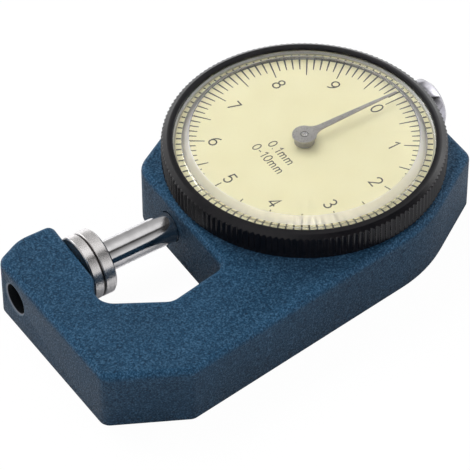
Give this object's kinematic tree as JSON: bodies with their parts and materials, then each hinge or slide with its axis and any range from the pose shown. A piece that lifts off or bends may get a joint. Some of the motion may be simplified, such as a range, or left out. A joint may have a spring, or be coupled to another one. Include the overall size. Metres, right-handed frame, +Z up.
{
  "type": "dial thickness gauge",
  "caption": "Hand-held dial thickness gauge: a C-shaped casting with flat round contact faces, a sprung sliding spindle with a lifting knob, and a large dial under a turning bezel.",
  "frame": {"origin": "the dial axis on the frame's flat underside", "axes": "+X along the spindle from the anvil to the lifting knob, +Z up along the dial axis, +Y across the frame towards the mouth of the throat"},
  "size_m": [0.0959, 0.0625, 0.0212],
  "materials": {
    "frame_paint": "sand-textured teal-blue stoved paint over a casting",
    "ground_steel": "ground and lapped steel with a fine turned grain",
    "knob_chrome": "bright chromium plate",
    "bezel_black": "black anodised, satin gloss",
    "clear_acrylic": "clear polished acrylic",
    "dial_enamel": "cream enamel, matt, with fine black printing",
    "hand_steel": "grey satin stamped sheet",
    "bush_brass": "turned brass",
    "plate_brass": "grained brass sheet",
    "spring_steel": "drawn spring wire and strip",
    "screw_steel": "bright screw steel"
  },
  "bodies": {
    "frame": {"frame": "frame_paint", "anvil": "ground_steel", "front_bush": "bush_brass", "rear_bush": "bush_brass", "bridge_pillars": "bush_brass", "movement_bridge": "plate_brass", "bridge_screws": "screw_steel", "lower_bearing": "bush_brass", "upper_bearing": "bush_brass", "hairspring": "spring_steel", "hairspring_stud": "bush_brass", "bezel_spring": "spring_steel", "return_spring": "spring_steel"},
    "spindle": {"spindle": "ground_steel", "contact_disc": "ground_steel", "guide_pin": "ground_steel", "lift_knob": "knob_chrome"},
    "pointer": {"pinion_arbor": "ground_steel", "hairspring_collet": "bush_brass", "pointer_hub": "hand_steel", "pointer": "hand_steel"},
    "bezel": {"bezel": "bezel_black", "crystal": "clear_acrylic", "dial_face": "dial_enamel", "dial_carrier": "plate_brass"}
  },
  "joints": [
    {"name": "spindle_slide", "type": "slide", "parent": "frame", "child": "spindle", "axis": [1, 0, 0], "range_m": [0, 0.01], "stiffness_N_per_m": 80, "springref_m": -0.0125, "deforming": ["return_spring"]},
    {"name": "pointer_turn", "type": "hinge", "parent": "frame", "child": "pointer", "pos_m": [0, 0, 0.01], "axis": [0, 0, 1], "range_deg": [-360, 0], "deforming": ["hairspring"]},
    {"name": "bezel_turn", "type": "hinge", "parent": "frame", "child": "bezel", "pos_m": [0, 0, 0.016], "axis": [0, 0, 1], "continuous": true}
  ],
  "couplings": [
    {"joint": "pointer_turn", "follows": "spindle_slide", "rad_per_m": -628.32}
  ]
}
